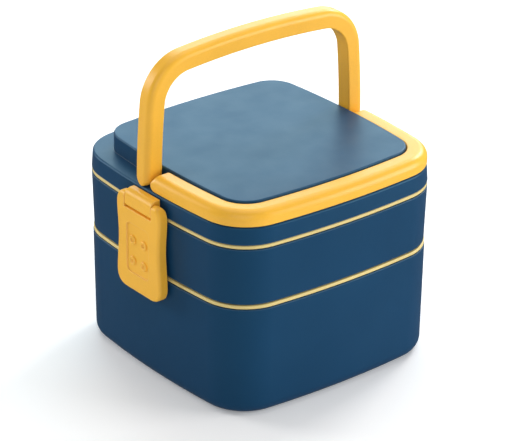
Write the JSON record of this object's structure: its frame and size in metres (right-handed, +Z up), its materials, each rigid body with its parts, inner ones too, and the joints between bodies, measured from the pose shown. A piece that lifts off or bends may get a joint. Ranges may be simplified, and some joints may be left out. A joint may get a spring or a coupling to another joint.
{
  "type": "bento lunch box",
  "caption": "Square stackable lunch box with two tiers, airtight inner lids, a clip-down outer lid and a carry handle that folds flat into the lid's rim.",
  "frame": {"origin": "centre of the lower container's flat base, on the surface the box stands on", "axes": "+Z up; -Y towards the front, where the fixed yellow trim lies; the latches and the handle's pivots are on the +X and -X sides"},
  "size_m": [0.175, 0.16, 0.1973],
  "materials": {
    "navy_plastic": "satin moulded polypropylene with a very fine grain",
    "yellow_plastic": "satin moulded polypropylene",
    "seal_lid_plastic": "smooth semi-matt polypropylene",
    "silicone": "soft matt silicone",
    "pin_steel": "drawn stainless wire"
  },
  "bodies": {
    "lower_container": {"lower_container": "navy_plastic"},
    "lower_seal_lid": {"lower_seal_lid": "seal_lid_plastic", "lower_seal_gasket": "silicone"},
    "lower_vent_plug": {"lower_vent_plug": "silicone"},
    "upper_container": {"upper_container": "navy_plastic"},
    "upper_divider": {"upper_divider": "navy_plastic"},
    "upper_seal_lid": {"upper_seal_lid": "seal_lid_plastic", "upper_seal_gasket": "silicone"},
    "upper_vent_plug": {"upper_vent_plug": "silicone"},
    "lid": {"lid_shell": "navy_plastic", "front_trim": "yellow_plastic", "handle_pin_left": "pin_steel", "handle_pin_right": "pin_steel", "latch_bracket_left": "yellow_plastic", "latch_bracket_right": "yellow_plastic", "latch_pin_left": "pin_steel", "latch_pin_right": "pin_steel"},
    "handle": {"handle": "yellow_plastic"},
    "latch_left": {"latch_left": "yellow_plastic"},
    "latch_right": {"latch_right": "yellow_plastic"}
  },
  "joints": [
    {"name": "lower_seal_lid_lift", "type": "slide", "parent": "lower_container", "child": "lower_seal_lid", "axis": [0, 0, 1], "range_m": [0, 0.06]},
    {"name": "lower_vent_pull", "type": "slide", "parent": "lower_seal_lid", "child": "lower_vent_plug", "axis": [0, 0, 1], "range_m": [0, 0.002]},
    {"name": "upper_container_lift", "type": "slide", "parent": "lower_seal_lid", "child": "upper_container", "axis": [0, 0, 1], "range_m": [0, 0.06]},
    {"name": "divider_lift", "type": "slide", "parent": "upper_container", "child": "upper_divider", "axis": [0, 0, 1], "range_m": [0, 0.06]},
    {"name": "upper_seal_lid_lift", "type": "slide", "parent": "upper_divider", "child": "upper_seal_lid", "axis": [0, 0, 1], "range_m": [0, 0.06]},
    {"name": "upper_vent_pull", "type": "slide", "parent": "upper_seal_lid", "child": "upper_vent_plug", "axis": [0, 0, 1], "range_m": [0, 0.002]},
    {"name": "lid_lift", "type": "slide", "parent": "upper_seal_lid", "child": "lid", "axis": [0, 0, 1], "range_m": [0, 0.07]},
    {"name": "handle_fold", "type": "hinge", "parent": "lid", "child": "handle", "pos_m": [0, 0.0065, 0.12435], "axis": [-1, 0, 0], "range_deg": [0, 90]},
    {"name": "latch_left_open", "type": "hinge", "parent": "lid", "child": "latch_left", "pos_m": [-0.0844, 0, 0.1129], "axis": [0, 1, 0], "range_deg": [0, 115]},
    {"name": "latch_right_open", "type": "hinge", "parent": "lid", "child": "latch_right", "pos_m": [0.0844, 0, 0.1129], "axis": [0, -1, 0], "range_deg": [0, 115]}
  ]
}
